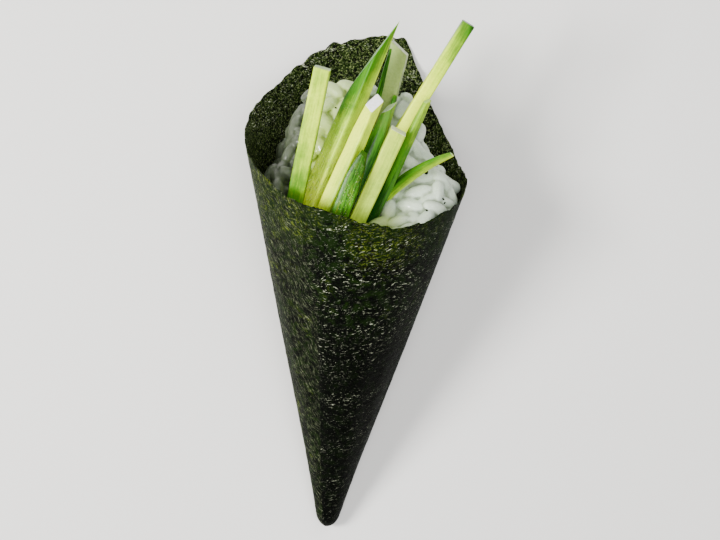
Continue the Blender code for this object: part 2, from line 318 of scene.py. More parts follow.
def outerRadius(psi, z, turn):
    # turn goes from 0 at the outer end of the sheet to 1 once round, a thickness further in
    folded = nori["tipFold"] * math.exp(-((z / nori["tipFoldReach"]) ** 2))
    radius = z * math.tan(halfAngle) + nori["thickness"] * (1 - turn) + sheetWave(psi, z) + folded
    if z < tipCapEnd:
        share = (tipCapEnd - z) / (tipCapEnd - tipLow)
        radius *= math.sqrt(max(0.0, 1 - share * share))
    if fromBack(psi) < math.radians(nori["flatReach"]):
        flat = (z * math.tan(halfAngle) + nori["flatInset"] * nori["thickness"]) * math.cos(flatHalfAngle)
        radius = min(radius, flat / math.cos(fromBack(psi)))
    return radius


def crinkle(psi, z, radius):
    # small dents of the dried sheet, 0 to 1, longer round the cone than along it
    x, y, _ = around(radius, psi, z)
    depth = nori["crinkleRest"]
    for across, along, shift, share, isRidge in nori["dents"]:
        dent = noise.noise(Vector((x * across, y * across, z * along + shift)))
        depth += share * (1 - abs(dent) * 2 if isRidge else dent)
    return limit(depth)


def noriMesh():
    count = nori["columns"]
    plug = nori["plugEnd"] * math.cos(halfAngle)
    overlapColumns = round(nori["overlap"] * count / 360)
    perTear = count / nori["tearColumns"]
    points = [(0, 0, tipLow), (0, 0, plug - nori["plugDip"])]
    inside = [0.0, 1.0]
    faces = []

    def top(column):
        spot = column / perTear
        low = int(spot) % len(tornEdge)
        rough = tornEdge[low] + (tornEdge[(low + 1) % len(tornEdge)] - tornEdge[low]) * (spot % 1)
        tears = nori["fineTears"]
        fine = sum(noise.noise(Vector((column * rate, shift, 0))) * share for rate, shift, share in tears)
        fine = nori["fineTear"] * limit(nori["fineTearRest"] + fine)
        return (rimSlant(nori["seam"] + column * 360 / count) + rough - fine) * math.cos(halfAngle)

    def turnAt(column, z):
        # the seam's cut edge wanders a little
        near = min(column, count - column) / (count * nori["seamReach"])
        sways = nori["seamSways"]
        sway = sum(noise.noise(Vector((shift, 0.5, z * rate))) * share for rate, shift, share in sways)
        sway *= limit(1 - near) * limit(z / nori["seamGrowth"])
        psi = math.radians(nori["seam"] + column * 360 / count)
        return psi + sway / max(nori["seamRadius"], z * math.tan(halfAngle))

    def outerColumn(column):
        capSteps = nori["capRows"] + 1
        cap = [tipLow + (tipCapEnd - tipLow) * (row / capSteps) ** 2 for row in range(1, capSteps)]
        first = len(points)
        for z in cap + steps(tipCapEnd, top(column % count), nori["sideRows"]):
            psi = turnAt(column, z)
            radius = outerRadius(psi, z, column / count)
            dent = nori["crinkle"] * crinkle(psi, z, radius) * limit((z - tipLow) / nori["crinkleGrowth"])
            points.append(around(radius - dent, psi, z))
            inside.append(0.0)
        return list(range(first, len(points)))

    def innerColumn(column, layers):
        high = top(column % count)
        psi = math.radians(nori["seam"] + column * 360 / count)
        low = steps(plug, nori["innerLow"], nori["lowRows"])[:-1]
        first = len(points)
        for z in low + steps(nori["innerLow"], high, nori["innerRows"]):
            radius = outerRadius(psi, z, column / count)
            # the inner layer stops a little under the rim, and the edge is thin
            below = high - z
            thick = nori["thickness"] * (1 if below < nori["layerDrop"] else layers)
            if below < nori["edgeReach"]:
                thick = nori["edge"] + (thick - nori["edge"]) * below / nori["edgeReach"]
            dent = nori["innerCrinkle"] * nori["crinkle"] * crinkle(psi, z, radius * nori["innerShrink"])
            dent *= limit(thick / nori["thickness"] - nori["thinCalm"])
            points.append(around(radius - thick + dent, psi, z))
            inside.append(1.0)
        return list(range(first, len(points)))

    outer = [outerColumn(column) for column in range(count + 1)]
    inner = [innerColumn(column, 2) for column in range(overlapColumns + 1)]
    inner += [innerColumn(column, 1) for column in range(overlapColumns, count)]
    for left, right in zip(outer, outer[1:] + outer[:1]):
        faces.append((0, right[0], left[0]))
        faces.extend(quads(left, right))
    for left, right in zip(inner, inner[1:] + inner[:1]):
        faces.append((1, left[0], right[0]))
        faces.extend(quads(right, left))
    # edge of the sheet; the inside has two columns where the doubled layer ends
    inner.append(inner[0])
    for column in range(count):
        low = column if column < overlapColumns else column + 1
        high = low + (2 if column + 1 == overlapColumns else 1)
        edge = [outer[column][-1], outer[column + 1][-1]]
        edge += [strip[-1] for strip in reversed(inner[low:high + 1])]
        if column == 0:
            edge.append(outer[-1][-1])
        faces.append(tuple(edge))
    return points, faces, {"inside": ("FLOAT", inside)}


noriFinish = {
    "dark": (0.0008, 0.0010, 0.0007),
    "green": (0.0042, 0.0120, 0.0012),
    "olive": (0.080, 0.106, 0.011),
    # grey: painted sheen on the left of the seam
    "grey": (0.026, 0.030, 0.018),
    # painted highlights: the glints, tinted yellow-green at the left
    "glint": (0.62, 0.66, 0.48),
    "leftGlint": (0.42, 0.49, 0.20),
    "ground": (0.016, 0.032, 0.005),
    "fleck": (0.165, 0.205, 0.075),
    # strands: direction across and along, length and width in mm, noise at which they start and are full
    "level": (0.965, 0.26, 1.30, 0.18, 0.62, 0.69),
    "slanted": (0.58, -0.81, 1.70, 0.16, 0.57, 0.67),
    "levelScraps": (0.965, 0.26, 0.95, 0.32, 0.50, 0.60),
    "slantedScraps": (0.58, -0.81, 1.60, 0.24, 0.52, 0.62),
    "rows": (0.045, 0.20, 0.24),  # rate across, slope, rate along
    # noise: rate for each mm, detail, roughness
    "patches": (0.075, 3.0, 0.55), "clumps": (0.55, 3.0, 0.6), "grit": (2.6, 3.0, 0.65),
    "dots": (1.9, 1.0), "groundSpots": (1.3, 2.0, 0.6),
    "net": (1.25, 0.12),  # rate, width
    "wander": (0.13, 5.0),  # rate, reach in mm
    # zones: height, or side with 0 in the middle and 1 at the outline, where they start and are full
    "low": (82.0, 66.0), "leftHigh": (-0.26, -0.60), "leftLow": (-0.33, -0.37),
    "shadeLow": (80.0, 62.0), "shadeLeft": (-0.42, -0.30), "shadeRight": (1.05, 0.75),
    "underRim": (86.0, 99.0), "far": (0.35, 0.90),
}


def noriLook():
    given = noriFinish
    look = Look("noriSheet", {"Specular IOR Level": 0.02})
    place = look.rollPlace()
    x, y, z = look.parts(place)
    rate, reach = given["wander"]
    wander = look.node("ShaderNodeTexNoise", None, {"Vector": place, "Scale": rate, "Detail": 2.0}, 1)
    bent = look.vector("MULTIPLY_ADD", wander, (reach, reach, reach))
    look.join(place, bent.socket.node.inputs[2])
    bx, by, bz = look.parts(bent)
    side = x / (z * math.tan(halfAngle) + 1.0)

    def strands(name):
        # flat dashes that run along a direction in the face of the sheet
        alongX, alongZ, length, width, low, high = given[name]
        run = bx * alongX + bz * alongZ
        over = bz * alongX - bx * alongZ
        grid = look.node("ShaderNodeCombineXYZ", None, {0: run / length, 1: by / length, 2: over / width})
        wave = look.noise(grid, 1.0, 1.5)
        return look.rise(wave, low, high), wave

    level, levelWave = strands("level")
    slanted, slantedWave = strands("slanted")
    # the outer end of the sheet, left of the seam, is olive grey with slanted strands; the grey is painted
    # sheen of the light from the left
    inside = look.rise(look.attribute("inside"), 0.2, 0.8)
    low = look.rise(z, *given["low"])
    left = between(low, look.rise(side, *given["leftHigh"]), look.rise(side, *given["leftLow"]))
    left = left * (1 - inside)
    dashes = between(left, level, slanted)
    waves = between(left, levelWave, slantedWave)
    # wavy rows in which the painted glints gather
    across, slope, along = given["rows"]
    rowPlace = {0: bx * across, 1: by * across, 2: (bz - bx * slope) * along}
    rows = look.rise(look.noise(look.node("ShaderNodeCombineXYZ", None, rowPlace), 1.0), 0.40, 0.62)
    patches = look.noise(place, *given["patches"])
    clumps = look.noise(bent, *given["clumps"])
    grit = look.noise(place, *given["grit"])
    dots = look.rise(look.noise(place, *given["dots"]), 0.64, 0.72)
    rate, width = given["net"]
    net = 1 - look.rise(look.cells(bent, rate, "DISTANCE_TO_EDGE"), 0.0, width)
    # painted shade makes the lower right nearly black and thins its glints; the left and the band under the
    # rim are olive
    lowRightShade = look.rise(z, *given["shadeLow"]) * look.rise(side, *given["shadeLeft"])
    lowRightShade = lowRightShade * look.rise(side, *given["shadeRight"])
    # fewer painted glints and less olive towards the right outline
    far = look.rise(side, *given["far"])
    band = look.rise(z, *given["underRim"]) * (1 - inside)
    patchShare = patches + clumps * 0.55 + band * 0.10 + left * 0.04
    patchShare = patchShare - lowRightShade * 0.30 - far * 0.04 - (1 - band) * 0.05
    # olive comes as small scraps between dark pits
    scraps = between(left, strands("levelScraps")[0], strands("slantedScraps")[0])
    oliveShare = look.rise(patchShare, 0.80, 1.02) * scraps * look.rise(grit, 0.40, 0.54)
    greenShare = look.rise(clumps + band * 0.14, 0.44, 0.66) * (1 - lowRightShade * 0.75)
    # painted sheen: grey on the left of the seam, where the light falls
    leftSheenShare = left * look.rise(waves + grit * 0.3, 0.63, 0.76)
    # painted glints: pale dashes and dots stand in for highlights on the crinkled sheet
    amount = (0.25 + rows * 0.75) * (1 - left) * (1 - lowRightShade * 0.50) * (1 - far * 0.45) + left * 0.26
    glints = dashes * amount * look.rise(grit, 0.34, 0.58)
    glintSpecks = dots * (0.04 + patches * 0.22)
    base = look.blend(greenShare, given["dark"], given["green"])
    base = look.blend(leftSheenShare * 0.60, base, given["grey"])
    base = look.blend(oliveShare, base, given["olive"])
    base = look.blend(net * 0.22 * (1 - lowRightShade * 0.6), base, given["green"])
    # the inside is dry and flecked all over
    ground = look.noise(place, *given["groundSpots"])
    base = look.blend(inside * look.rise(ground, 0.40, 0.62) * 0.80, base, given["ground"])
    flecks = look.rise(grit, 0.52, 0.64) * look.rise(ground, 0.42, 0.56)
    base = look.blend(inside * flecks * 0.90, base, given["fleck"])
    # the painted glints, tinted yellow-green left of the seam
    bright = look.blend(left * 0.60, given["glint"], given["leftGlint"])
    base = look.blend(look.rise(glints + glintSpecks, 0.0, 1.0) * 0.95, base, bright)
    height = waves * 0.9 + clumps * 0.5 + net * 0.25 + grit * 0.45
    return look.finish({
        "Base Color": base,
        "Roughness": 0.58 - glints * 0.22 - waves * 0.12,
        "Normal": look.relief(height, 0.9, 0.00035),
    })


noriPoints, noriFaces, noriLayers = noriMesh()
noriMaterial = noriLook()
makePiece("nori_sheet", noriPoints, noriFaces, noriMaterial, "nori", noriLayers)
print("nori made")

# cucumber sticks
stick = {
    "rows": 56, "sidePoints": 7, "round": 0.35, "cornerShare": 0.29, "bulge": 0.25,
    "cutRound": 0.14, "endRings": (0.88, 0.55), "endDip": 0.03, "footShrink": 0.9,
    "sway": 0.07, "swayRates": (0.8, 0.18), "seedStep": 0.37, "narrowFrom": 0.5, "dropFrom": 0.75,
    "footFade": 1.5, "tipFade": 2.5,
}

# ends: foot and tip in mm. size: width, thickness, turn. drop: of the cut, to the right and the front.
# left: share of the width and the thickness left at the tip. skin: direction that it faces (across, out).
# start: how deep under the skin the cut starts. pale: how fast it pales. foot, tip: change of that depth.
# white: pale cut end. wet: sparkle at the foot and the tip. grey: how far the flesh is greyed, which on the
# back slab is painted shade.
# darkest: lowest depth, where the skin is darkest.
plainStick = {
    "drop": (0, 0), "bow": 0, "left": (1, 1), "skinned": False, "foot": 0, "tip": 0, "darkest": -0.35,
    "white": 0.0, "grey": 0.0,
}
sticks = {
    "cucumber_left": {
        "ends": ((-15.8, -12.7, 92.6), (-11.1, -9.0, 133.2)), "size": (4.0, 4.0, 5), "drop": (0.2, 0),
        "skin": (-0.3, -1), "start": 1.80, "pale": 0.42, "foot": -4.9, "tip": -1.7,
        "white": 0.15, "wet": (0.25, 0.0),
    },
    "cucumber_tall": {
        "ends": ((-15.1, -9, 85.6), (1.15, -2.76, 136.4)), "size": (4.6, 4.2, 45), "drop": (-10, 10),
        "left": (0.75, 0.85), "skin": (-0.35, 1), "start": 1.75, "pale": 0.55, "foot": 1.4, "tip": -3.9,
        "wet": (1.0, 0.0), "darkest": -0.03,
    },
    "cucumber_white_end": {
        "ends": ((-10.2, -14.7, 89.9), (2.8, -9.4, 128)), "size": (3.7, 3.4, 38), "drop": (1, 3.5),
        "left": (0.72, 0.85), "skin": (1, 0.1), "start": 2.4, "pale": 0.70, "foot": -1.7, "tip": 0.6,
        "white": 1.0, "wet": (0.55, 0.0),
    },
    "cucumber_back_sliver": {
        "ends": ((-1.4, -3.8, 99.6), (4.8, 1.5, 136.9)), "size": (1.6, 1.6, 0), "drop": (0, 2),
        "left": (0.4, 0.6), "skinned": True, "skin": (0, 1), "start": -0.4, "pale": 0.3, "wet": (0.1, 0.0),
    },
    # the back slab lies in the shade; its grey flesh is painted shade
    "cucumber_back_slab": {
        "ends": ((0.6, 0.9, 94.4), (7.2, 6.5, 137.4)), "size": (4.6, 3.6, 10), "drop": (2.5, 0),
        "skin": (-1, -1), "start": 2.2, "pale": 0.25, "foot": -0.6, "tip": 0.3,
        "white": 0.2, "wet": (0.1, 0.0), "grey": 0.9,
    },
    "cucumber_grey_green": {
        "ends": ((-3.3, -12.3, 91.0), (5.8, -6.4, 124.3)), "size": (4.0, 2.8, 20), "drop": (-2, 2),
        "left": (0.5, 1), "skinned": True, "skin": (0, 1), "start": -0.75, "pale": 0.20, "tip": 1.1,
        "white": 0.3, "wet": (0.3, 0.1), "grey": 0.15, "darkest": -0.8,
    },
    "cucumber_front_green": {
        "ends": ((-5.2, -19.1, 94.5), (0.8, -16.5, 115.7)), "size": (4.4, 3, 8), "drop": (0.6, 0.5),
        "left": (0.35, 0.8), "skinned": True, "skin": (0.25, 1), "start": -0.32, "pale": 0.12,
        "foot": 0.1, "tip": -0.1, "wet": (0.8, 0.5),
    },
    "cucumber_front_pale": {
        "ends": ((-3.9, -17.6, 84.8), (8.6, -12.6, 120.8)), "size": (4.0, 3.6, 0), "drop": (0.3, 0.5),
        "skin": (0.6, -1), "start": 0.6, "pale": 0.32, "foot": 0.3, "tip": 0.6,
        "white": 0.5, "wet": (0.2, 0.0), "grey": 0.30,
    },
    "cucumber_far_right": {
        "ends": ((-0.6, -7.0, 98.2), (22.8, -1.5, 145.6)), "size": (3.2, 3.2, 0),
        "skin": (0.8, -0.6), "start": 3.0, "pale": 0.5, "foot": 0.3, "tip": -4.6,
        "white": 0.1, "wet": (0.1, 0.0),
    },
    "cucumber_narrow_green": {
        "ends": ((-0.4, -12.7, 85), (14.9, -8.5, 127.8)), "size": (2.4, 2.4, 40), "drop": (0, 1),
        "left": (0.5, 0.6), "skinned": True, "skin": (-0.75, 1), "start": -0.16, "pale": 0.20,
        "foot": -1.5, "tip": 1.0, "white": 0.1, "wet": (0.4, 0.1), "darkest": -1.2,
    },
    "cucumber_curved_sliver": {
        "ends": ((3.2, -6.6, 95.5), (22.1, -7.6, 114.3)), "size": (3, 1.5, -30), "bow": -2.9,
        "left": (0.4, 0.6), "skinned": True, "skin": (-1, 0.3), "start": -0.50, "pale": 1.0,
        "foot": -0.2, "tip": 1.0, "white": 0.2, "wet": (0.3, 0.1), "darkest": -0.5,
    },
    "cucumber_small_sliver": {
        "ends": ((2.7, -2.0, 103.6), (7.0, 1.5, 125.3)), "size": (1.6, 1.4, 0), "drop": (0, 1),
        "left": (0.6, 0.6), "skinned": True, "skin": (0, 1), "start": -0.4, "pale": 0.3, "wet": (0.1, 0.0),
    },
}
sticks = {name: {**plainStick, **given} for name, given in sticks.items()}


def stickAxes(foot, tip, turn):
    along = (tip - foot).normalized()
    out = Vector((0, -1, 0))
    out = (out - along * out.dot(along)).normalized()
    across = out.cross(along)
    if across.x < 0:
        across = -across
    angle = math.radians(turn)
    turned = across * math.cos(angle) + out * math.sin(angle)
    return along, turned, out * math.cos(angle) - across * math.sin(angle)


def stickSection(halfWidth, halfDepth, bulge):
    # rounded four-sided section, anticlockwise from the lower left
    corner = stick["round"]
    count = stick["sidePoints"]
    section = []
    for startX, startY, endX, endY in ((-1, -1, 1, -1), (1, -1, 1, 1), (1, 1, -1, 1), (-1, 1, -1, -1)):
        for share in (step / (count - 1) * 2 - 1 for step in range(count)):
            x = (startX + endX) / 2 * halfWidth + (endX - startX) / 2 * share * (halfWidth - corner)
            y = (startY + endY) / 2 * halfDepth + (endY - startY) / 2 * share * (halfDepth - corner)
            if startY == 1 and endY == 1:
                y += bulge * (1 - share * share)
            section.append((x, y))
        # one point in the middle of the corner
        inset = corner * stick["cornerShare"]
        section.append((endX * (halfWidth - inset), endY * (halfDepth - inset)))
    return section


def past(share, start):
    # 0 up to the start, then rising to 1
    return max(0, (share - start) / (1 - start))


def stickMesh(name, given):
    foot, tip = [Vector(end) for end in given["ends"]]
    width, thickness, turn = given["size"]
    along, across, out = stickAxes(foot, tip, turn)
    halfWidth, halfDepth = width / 2, thickness / 2
    section = stickSection(halfWidth, halfDepth, stick["bulge"] if given["skinned"] else 0)
    length = (tip - foot).length
    seed = sum(ord(letter) for letter in name) * stick["seedStep"]
    skinX, skinY = given["skin"]
    skinLong = math.hypot(skinX, skinY)
    skinX, skinY = skinX / skinLong, skinY / skinLong
    reach = max(x * skinX + y * skinY for x, y in section)
    turnRate, runRate = stick["swayRates"]
    points, faces, cutPlace, skinDepth, endCut, wet, cloudy = [], [], [], [], [], [], []

    def add(x, y, share, shrink=1, lower=0, isEnd=False):
        late = past(share, stick["narrowFrom"])
        narrowX, narrowY = [1 + (left - 1) * late * late for left in given["left"]]
        toRight = (x * shrink / halfWidth + 1) / 2
        toFront = (y * shrink / halfDepth + 1) / 2
        drop = (given["drop"][0] * toRight + given["drop"][1] * toFront) * past(share, stick["dropFrom"])
        sway = 0 if isEnd else stick["sway"]
        run = share * length
        swell = noise.noise(Vector((seed, math.atan2(y, x) * turnRate, run * runRate)))
        swell = 1 + sway / halfWidth * swell
        middle = foot.lerp(tip, share) + across * given["bow"] * 4 * share * (1 - share)
        spot = middle + across * x * narrowX * shrink * swell + out * y * narrowY * shrink * swell
        points.append(spot - along * (drop + lower))
        cutPlace.append((x * shrink, y * shrink, run))
        depth = given["start"] + (reach - (x * skinX + y * skinY) * shrink) * given["pale"]
        depth += given["foot"] * (1 - share) ** stick["footFade"] + given["tip"] * share ** stick["tipFade"]
        skinDepth.append(max(given["darkest"], depth))
        endCut.append(given["white"] if isEnd else 0.0)
        wet.append(given["wet"][0] * (1 - share) + given["wet"][1] * share)
        cloudy.append(given["grey"])
        return len(points) - 1

    cutRound = stick["cutRound"]
    rings = [[add(x, y, row / stick["rows"]) for x, y in section] for row in range(stick["rows"])]
    rings.insert(0, [add(x, y, 0, stick["footShrink"]) for x, y in section])
    rings.append([add(x, y, 1, 1, cutRound) for x, y in section])
    rings.append([add(x, y, 1, 1 - cutRound / halfWidth * 0.5, stick["endDip"], True) for x, y in section])
    for shrink in stick["endRings"]:
        rings.append([add(x, y, 1, shrink, 0, True) for x, y in section])
    start = add(0, 0, 0)
    end = add(0, 0, 1, 1, 0, True)
    count = len(section)
    for low, high in zip(rings, rings[1:]):
        faces.extend((low[i], low[(i + 1) % count], high[(i + 1) % count], high[i]) for i in range(count))
    for i in range(count):
        faces.append((start, rings[0][(i + 1) % count], rings[0][i]))
        faces.append((end, rings[-1][i], rings[-1][(i + 1) % count]))
    layers = {
        "cutPlace": ("FLOAT_VECTOR", cutPlace),
        "skinDepth": ("FLOAT", skinDepth),
        "endCut": ("FLOAT", endCut),
        "wet": ("FLOAT", wet),
        "cloudy": ("FLOAT", cloudy),
    }
    return points, faces, layers


cucumberFinish = {
    "skin": (0.006, 0.042, 0.003),
    "skinLight": (0.050, 0.200, 0.005),
    "green": (0.095, 0.225, 0.007),
    "yellowGreen": (0.255, 0.450, 0.010),
    "pale": (0.560, 0.780, 0.020),
    "cream": (0.810, 0.980, 0.040),
    "grey": (0.200, 0.270, 0.110),
    "white": (0.960, 0.950, 0.970),
    "beadHighlight": (0.950, 0.990, 0.500),
    "soaked": (0.070, 0.230, 0.005),
    "cellWall": (0.34, 0.40, 0.06),
    # share of the flesh's depth in mm at which each colour is reached
    "fleshDepth": 4.0,
    "flesh": [(0.0, "skinLight"), (0.10, "green"), (0.30, "yellowGreen"), (0.55, "pale"), (0.85, "cream")],
    # rate for each mm across the stick and along it
    "streaks": (2.0, 0.09), "fineStreaks": (6.0, 0.5), "wetStreaks": (1.9, 0.22), "beads": (3.0, 1.7),
    # rate for each mm, detail, roughness
    "blotches": (0.32, 3.0, 0.55), "gathered": (1.1, 3.0, 0.65), "cells": 2.4, "drift": 0.02,
}


def cucumberLook():
    look = Look("cucumberCut", {
        "Subsurface Weight": 0.15,
        "Subsurface Radius": (0.9, 1.0, 0.3),
        "Subsurface Scale": 0.0012,
        "Specular IOR Level": 0.11,
        "Coat Roughness": 0.12,
    })
    given = cucumberFinish
    place = look.attribute("cutPlace", 1)
    depth, endCut, wet, cloudy = [look.attribute(name) for name in ("skinDepth", "endCut", "wet", "cloudy")]
    spot = look.rollPlace()

    def drawnOut(name):
        across, along = given[name]
        return look.vector("MULTIPLY", place, (across, across, along))

    drift = look.vector("MULTIPLY", spot, (given["drift"], given["drift"], given["drift"]))
    streaks = look.noise(look.vector("ADD", drawnOut("streaks"), drift), 1.0, 3.0, 0.6)
    fineStreaks = look.noise(drawnOut("fineStreaks"), 1.0)
    blotches = look.noise(spot, *given["blotches"])
    cells = look.cells(spot, given["cells"], "SMOOTH_F1")
    under = depth + (blotches - 0.5) * 1.9 + (streaks - 0.5) * 2.2 + (fineStreaks - 0.5) * 1.1
    stops = [(share, given[name]) for share, name in given["flesh"]]
    flesh = look.node("ShaderNodeValToRGB", {"stops": stops}, {0: under / given["fleshDepth"]})
    flesh = look.blend(cloudy, flesh, given["grey"])
    # the skin is darkest where it is thickest, with lighter streaks along the stick
    lightSkin = look.rise(streaks * 0.9 + fineStreaks * 0.35 + depth * 0.65, 0.28, 0.66)
    skin = look.blend(lightSkin, given["skin"], given["skinLight"])
    onSkin = look.rise(depth + (fineStreaks - 0.5) * 0.35, 0.10, -0.08)
    base = look.blend(onSkin, flesh, skin)
    base = look.blend(endCut, base, given["white"])
    base = look.blend(look.rise(cells, 0.25, 0.75) * 0.16, base, given["cellWall"], "MULTIPLY")
    # wet flesh is darker between its beads
    wetStreaks = look.noise(drawnOut("wetStreaks"), 1.0, 3.0, 0.6)
    soaking = look.rise(wet, 0.30, 0.75)
    base = look.blend(soaking * look.rise(wetStreaks, 0.50, 0.60) * 0.65, base, given["soaked"])
    # painted sheen: pale cream streaks on the wet flesh
    shine = soaking * look.rise(wetStreaks, 0.46, 0.38) * (0.7 - onSkin * 0.6)
    base = look.blend(shine, base, given["cream"])
    # beads of juice, drawn out along the stick, each with a painted highlight
    beads = look.cells(drawnOut("beads"), 1.0, "F1")
    gathered = look.rise(look.noise(spot, *given["gathered"]), 0.44, 0.58)
    drops = look.rise(beads, 0.42, 0.20) * gathered * look.rise(wet, 0.15, 0.85)
    base = look.blend(drops * (0.75 - onSkin * 0.55), base, given["beadHighlight"])
    height = streaks * 0.35 + fineStreaks * 0.18 + cells * 0.12 + drops * 0.9
    return look.finish({
        "Base Color": base,
        "Roughness": 0.38 + (fineStreaks - 0.5) * 0.25 - drops * 0.20 - onSkin * 0.06,
        "Coat Weight": wet * 0.08,
        "Normal": look.relief(height, 0.55, 0.00016),
    })


cucumberMaterial = cucumberLook()
for name, given in sticks.items():
    points, faces, layers = stickMesh(name, given)
    makePiece(name.replace("cucumber", "stick"), points, faces, cucumberMaterial, name, layers)
print("cucumber sticks made")


# rice
rice = {
    "gap": 0.3, "level": 96, "edgeRounds": 12, "seamRoom": 4,
    # heaps: place, lift, reach across and out, squareness
    "heaps": [(-2.2, 8, 28, 17, 10.5, 6), (18.5, -1, 11, 7.5, 13, 2), (-20, -5, 7, 4.5, 7, 2)],
    "coreColumns": 120, "coreTopRings": 34,
    # lowest height, slack to the wall, depth under the top, rows of the side
    "core": (18, 0.4, 3.5, 8),
    "heap": (88, 0.1, 0.35, 3),
    "lump": 0.9, "lumpRate": 0.33, "lumpSink": 0.3,
    "length": 7.2, "width": 3.7, "thickness": 3.1, "sides": 8, "groove": 0.96,
    # place along the unit grain, and share of its width there
    "rings": [
        (-0.46, 0.46), (-0.36, 0.74), (-0.16, 0.97), (0.06, 1.0), (0.27, 0.9), (0.41, 0.62), (0.475, 0.34),
    ],
    # name, bend, flatness
    "shapes": [("grainPlain", 0.02, 1.0), ("grainBent", 0.10, 0.94), ("grainFull", 0.05, 1.06)],
    "pickSeed": 4,
    "main": {"seed": 11, "tries": 6000, "spacing": 4.2, "lift": (0, 1), "spare": 0.75},
    "fill": {"seed": 23, "tries": 6000, "spacing": 3.2, "lift": (-1.3, 0.1), "spare": 0.6},
    "riseShare": 0.6, "edgeRoom": 1.0, "tilt": 0.35, "sizes": (0.9, 1.08),
    "balls": [(-0.8, 0.6), (-0.4, 0.92), (0, 1), (0.4, 0.92), (0.8, 0.6)],  # a grain as balls: place, size
    "turns": 12, "betterBite": 0.15, "wallBalls": [(-0.95, 0.2), (0, 0.9), (0.95, 0.2)], "wallRoom": 0.1,
    "wallRounds": 3,
    "voxel": 0.345, "softening": 2, "creaseRounds": 2, "creaseGain": 18,
    # grains that stand out in the mouth: picture place, lean from upright in degrees, size
    "placed": [
        (451.5, 196.5, -20, 0.98), (438.5, 181, -26, 1.0), (388.5, 213, 12, 0.95), (398, 224, 84, 0.9),
        (412, 207, 112, 1.05), (419, 194, 84, 1.05), (425, 179, 62, 0.95), (436, 166, -8, 0.9),
        (272.5, 178, -8, 1.0), (290, 156, 26, 0.95), (297, 129, 8, 1.02), (325, 84, 18, 1.0),
        (334, 92, -30, 0.95),
    ],
    "placedFlat": 0.85, "placedLift": 0.75, "placedSpare": 1.2,
}


def riceHeight(x, y):
    height = rice["level"]
    for cx, cy, lift, reachX, reachY, square in rice["heaps"]:
        height += lift * math.exp(-abs((x - cx) / reachX) ** square - ((y - cy) / reachY) ** 2)
    return height


def wallRadius(psi, z):
    turn = ((math.degrees(psi) - nori["seam"]) % 360) / 360
    layers = 2 if turn * 360 <= nori["overlap"] + rice["seamRoom"] else 1
    return outerRadius(psi, z, turn) - layers * nori["thickness"] - rice["gap"]


def riceEdge(psi):
    z = rice["level"]
    for _ in range(rice["edgeRounds"]):
        radius = wallRadius(psi, z)
        z = riceHeight(radius * math.sin(psi), -radius * math.cos(psi))
    return z, wallRadius(psi, z)


def coreMesh(low, slack, depth, sideRows):
    # body of rice inside the sheet, from a height up to a depth under the top of the heap
    points = [(0, 0, low), (0, 0, riceHeight(0, 0) - depth)]
    strips = []
    faces = []
    for column in range(rice["coreColumns"]):
        psi = 2 * math.pi * column / rice["coreColumns"]
        edgeZ, edgeRadius = riceEdge(psi)
        strip = [around(wallRadius(psi, z) - slack, psi, z) for z in steps(low, edgeZ - depth, sideRows)[1:]]
        for ring in range(1, rice["coreTopRings"]):
            x, y, _ = around(edgeRadius * (1 - ring / rice["coreTopRings"]), psi, 0)
            z = riceHeight(x, y) - depth
            # lumps about as large as grains
            rate = rice["lumpRate"]
            lump = noise.noise(Vector((x * rate, y * rate, z * rate)))
            strip.append((x, y, z - rice["lumpSink"] + rice["lump"] * lump))
        strips.append(list(range(len(points), len(points) + len(strip))))
        points.extend(strip)
    for left, right in zip(strips, strips[1:] + strips[:1]):
        faces.append((0, right[0], left[0]))
        faces.extend(quads(left, right))
        faces.append((left[-1], right[-1], 1))
    return points, faces


def roundTop(x, y):
    small = 0.2
    slopeX = (riceHeight(x + small, y) - riceHeight(x - small, y)) / (2 * small)
    slopeY = (riceHeight(x, y + small) - riceHeight(x, y - small)) / (2 * small)
    return Vector((-slopeX, -slopeY, 1)).normalized()


stickRooms = []
for given in sticks.values():
    foot, tip = [Vector(end) for end in given["ends"]]
    width, thickness, turn = given["size"]
    axes = stickAxes(foot, tip, turn)
    stickRooms.append((foot, (tip - foot).length, axes, width / 2, thickness / 2, given["bow"]))


def stickBite(spot, radius):
    # how deep a ball at the spot goes into the nearest stick
    worst = 0
    for foot, length, (along, across, out), halfWidth, halfDepth, bow in stickRooms:
        offset = spot - foot
        run = offset.dot(along)
        if run < -radius or run > length + radius:
            continue
        share = limit(run / length)
        offset -= across * bow * 4 * share * (1 - share)
        bite = radius + min(halfWidth - abs(offset.dot(across)), halfDepth - abs(offset.dot(out)))
        worst = max(worst, bite)
    return worst


def lookThrough(surface, px, py):
    # where the line of sight through a spot of the picture meets a surface, in roll mm
    back = rollToWorld.inverted()
    eye = back @ camera.matrix_world.translation
    reach = picture["width"] * cameraLook["lens"] / cameraLook["sensor"]
    spot = Vector(((px - picture["width"] / 2) / reach, (picture["height"] / 2 - py) / reach, -1))
    hit, normal, _, _ = surface.ray_cast(eye, (back @ (camera.matrix_world @ spot) - eye).normalized())
    return hit, normal


def fitGrain(centre, long, up, size, spare):
    # turns a grain until it clears the sticks, and draws it in from the wall
    half = rice["length"] / 2 * size
    wide = rice["width"] / 2 * size
    best = None
    for step in range(rice["turns"]):
        angle = (step + 1) // 2 * (1 if step % 2 else -1) * math.pi / rice["turns"]
        turned = Matrix.Rotation(angle, 3, up) @ long
        bite = max(stickBite(centre + turned * half * share, wide * ball) for share, ball in rice["balls"])
        if best is None or bite < best[0] - rice["betterBite"]:
            best = (bite, turned)
        if bite < spare:
            break
    bite, turned = best
    if bite > spare:
        return None
    for share, room in rice["wallBalls"] * rice["wallRounds"]:
        end = centre + turned * half * share
        psi = math.atan2(end.x, -end.y)
        over = math.hypot(end.x, end.y) + room * wide - wallRadius(psi, end.z) - rice["wallRoom"]
        if over > 0:
            centre = centre - Vector((math.sin(psi), -math.cos(psi), 0)) * over
    return centre, turned, (up - turned * up.dot(turned)).normalized(), size


def fitGrains(places, spare):
    fitted = [fitGrain(*place, spare) for place in places]
    return [place for place in fitted if place]


